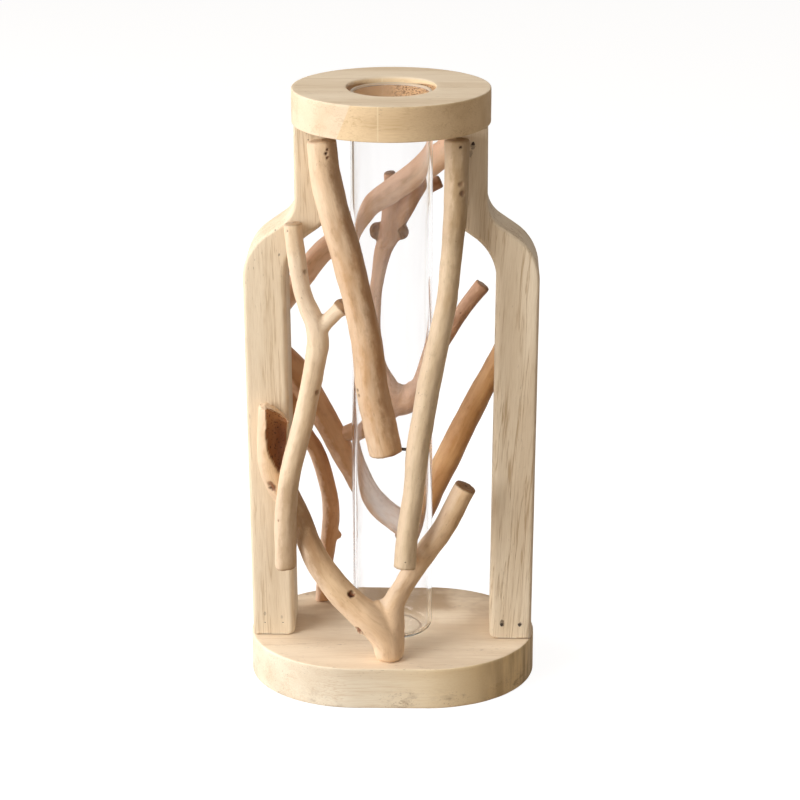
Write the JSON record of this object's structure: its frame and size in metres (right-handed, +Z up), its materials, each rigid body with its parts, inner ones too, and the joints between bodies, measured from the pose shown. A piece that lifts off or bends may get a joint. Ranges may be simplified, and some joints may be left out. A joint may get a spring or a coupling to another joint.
{
  "type": "wooden frame vase with glass tube",
  "caption": "Bottle-shaped wooden frame vase: a board, two shaped posts and a holed disc hold a lift-out glass tube, with natural branches nailed across front and back.",
  "frame": {"origin": "centre of the underside of the base board, on the surface that the vase stands on", "axes": "+Z up along the tube, +X along the base board towards the right post as the picture shows it, -Y towards the front"},
  "size_m": [0.144, 0.109, 0.3],
  "materials": {
    "pale_wood": "sanded, unvarnished, fine vertical grain and open pores",
    "light_driftwood": "barked, smooth and weathered, with knots and worm holes",
    "brown_driftwood": "barked, darker brown, weathered",
    "clear_glass": "clear, polished, thin wall",
    "nail_steel": "dull plain steel"
  },
  "bodies": {
    "frame": {"base_board": "pale_wood", "top_disc": "pale_wood", "left_post": "pale_wood", "right_post": "pale_wood", "thick_branch": "light_driftwood", "left_fork": "light_driftwood", "long_branch": "light_driftwood", "standing_fork": "light_driftwood", "upper_rear_branch": "brown_driftwood", "knobby_fork": "brown_driftwood", "lower_rear_fork": "brown_driftwood", "right_rear_branch": "brown_driftwood", "left_foot_nail_outer": "nail_steel", "left_foot_nail_inner": "nail_steel", "left_neck_nail_front": "nail_steel", "left_neck_nail_back": "nail_steel", "right_foot_nail_outer": "nail_steel", "right_foot_nail_inner": "nail_steel", "right_neck_nail_front": "nail_steel", "right_neck_nail_back": "nail_steel", "thick_branch_nail": "nail_steel", "left_fork_nail_top": "nail_steel", "left_fork_nail_foot": "nail_steel", "long_branch_nail_top": "nail_steel", "standing_fork_nail_top": "nail_steel", "standing_fork_nail_foot": "nail_steel", "long_branch_nail_foot": "nail_steel", "crossing_nail": "nail_steel", "upper_rear_nail_left": "nail_steel", "upper_rear_nail_right": "nail_steel", "knobby_fork_nail_top": "nail_steel", "knobby_fork_nail_foot": "nail_steel", "lower_rear_nail_left": "nail_steel", "lower_rear_nail_foot": "nail_steel", "right_rear_nail_top": "nail_steel", "right_rear_nail_foot": "nail_steel"},
    "tube": {"glass_tube": "clear_glass"}
  },
  "joints": [
    {"name": "tube_lift", "type": "slide", "parent": "frame", "child": "tube", "axis": [0, 0, 1], "range_m": [0, 0.285]}
  ]
}
